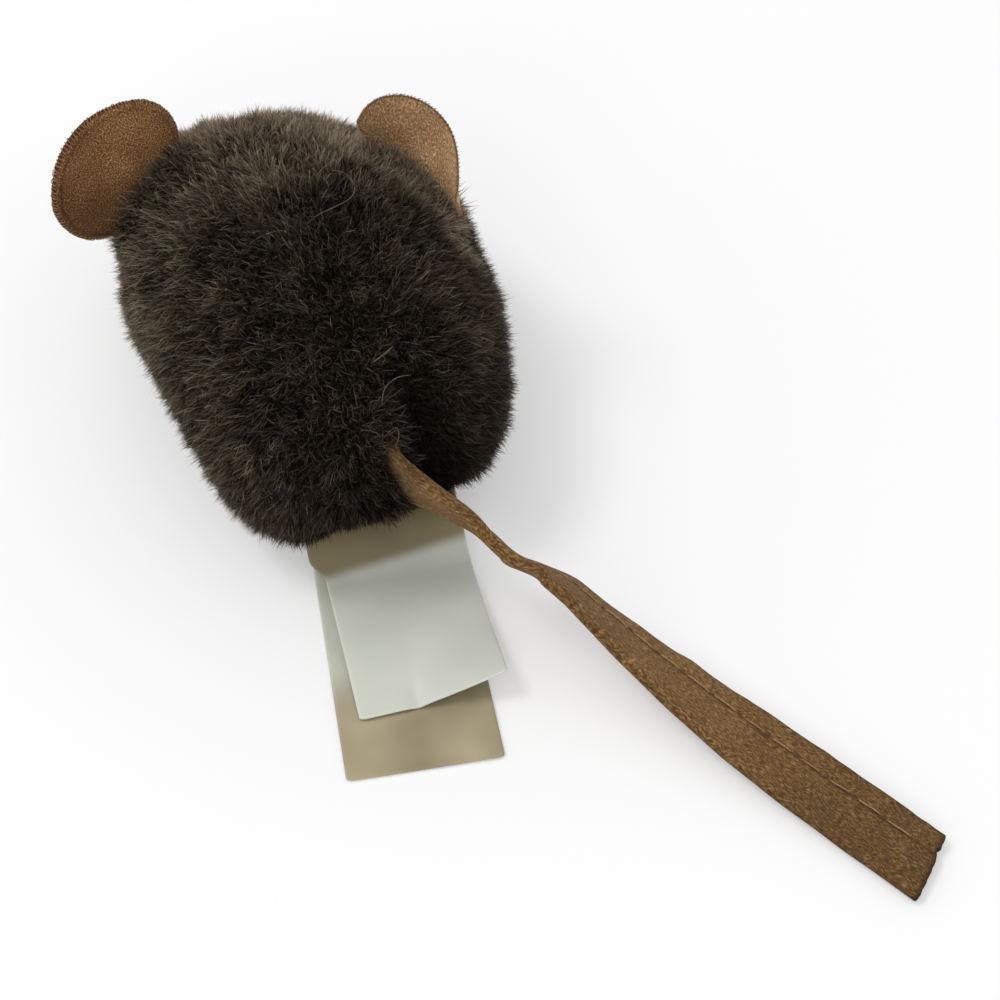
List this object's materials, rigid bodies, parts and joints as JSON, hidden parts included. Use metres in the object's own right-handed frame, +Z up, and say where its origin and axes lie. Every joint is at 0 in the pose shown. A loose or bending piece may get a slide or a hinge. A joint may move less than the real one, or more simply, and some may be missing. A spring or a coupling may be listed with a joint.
{
  "type": "plush mouse cat toy",
  "caption": "Small plush mouse lying on its belly, with round suede ears, a long folded suede tail, a sewn-in two-leaf label and a shake-operated sound module inside.",
  "frame": {"origin": "centre of the flat belly on the floor, below the middle of the sound module", "axes": "+Y towards the nose, +Z up out of the back, +X towards the mouse's right side; the tail lies towards -Y and +X"},
  "size_m": [0.095, 0.176, 0.0579],
  "materials": {
    "plush": "long-pile plush",
    "filling": "polyester fibre",
    "gloss": "polished",
    "case": "moulded",
    "thread": "satin-stitched thread",
    "suede": "brushed suede cloth",
    "tape": "woven tape",
    "satin": "satin tape",
    "board": "solder mask",
    "brass": "rolled",
    "resin": "cast",
    "steel": "plated",
    "foam": "foamed"
  },
  "bodies": {
    "body": {"left_side_panel": "plush", "right_side_panel": "plush", "belly_panel": "plush", "fibre_filling": "filling", "left_eye": "gloss", "left_eye_washer": "case", "right_eye": "gloss", "right_eye_washer": "case", "nose": "thread", "module_case_base": "case", "module_case_lid": "case", "circuit_board": "board", "sounder_disc": "brass", "sound_chip": "resin", "button_cell_1": "steel", "button_cell_2": "steel", "button_cell_3": "steel", "cell_contact_plate": "steel", "foam_pad": "foam", "shake_switch_spring": "steel", "shake_switch_post": "brass", "lid_screw_left": "steel", "lid_screw_right": "steel"},
    "left_ear": {"left_ear_back_ply": "suede", "left_ear_front_ply": "suede"},
    "right_ear": {"right_ear_back_ply": "suede", "right_ear_front_ply": "suede"},
    "tail": {"tail_strip": "suede"},
    "label_lower": {"label_lower_leaf": "tape"},
    "label_upper": {"label_upper_leaf": "satin"}
  },
  "joints": [
    {"name": "left_ear_fold", "type": "hinge", "parent": "body", "child": "left_ear", "pos_m": [-0.02011, 0.029, 0.03261], "axis": [0.771, 0.3532, 0.5299], "range_deg": [-20, 20], "stiffness_Nm_per_rad": 0.002},
    {"name": "right_ear_fold", "type": "hinge", "parent": "body", "child": "right_ear", "pos_m": [0.01962, 0.01003, 0.03585], "axis": [0.4616, -0.862, -0.2095], "range_deg": [-20, 20], "stiffness_Nm_per_rad": 0.002},
    {"name": "tail_swing", "type": "hinge", "parent": "body", "child": "tail", "pos_m": [-0.00175, -0.0324, 0.0265], "axis": [0, 0, 1], "range_deg": [-4, 25]},
    {"name": "label_lower_lift", "type": "hinge", "parent": "body", "child": "label_lower", "pos_m": [-0.0015, -0.0255, 0.0046], "axis": [-0.9781, 0.2079, 0], "range_deg": [0, 10], "stiffness_Nm_per_rad": 0.0005},
    {"name": "label_upper_lift", "type": "hinge", "parent": "label_lower", "child": "label_upper", "pos_m": [-0.0006, -0.0255, 0.0061], "axis": [-0.9903, 0.1392, 0], "range_deg": [0, 12], "stiffness_Nm_per_rad": 0.0005}
  ]
}
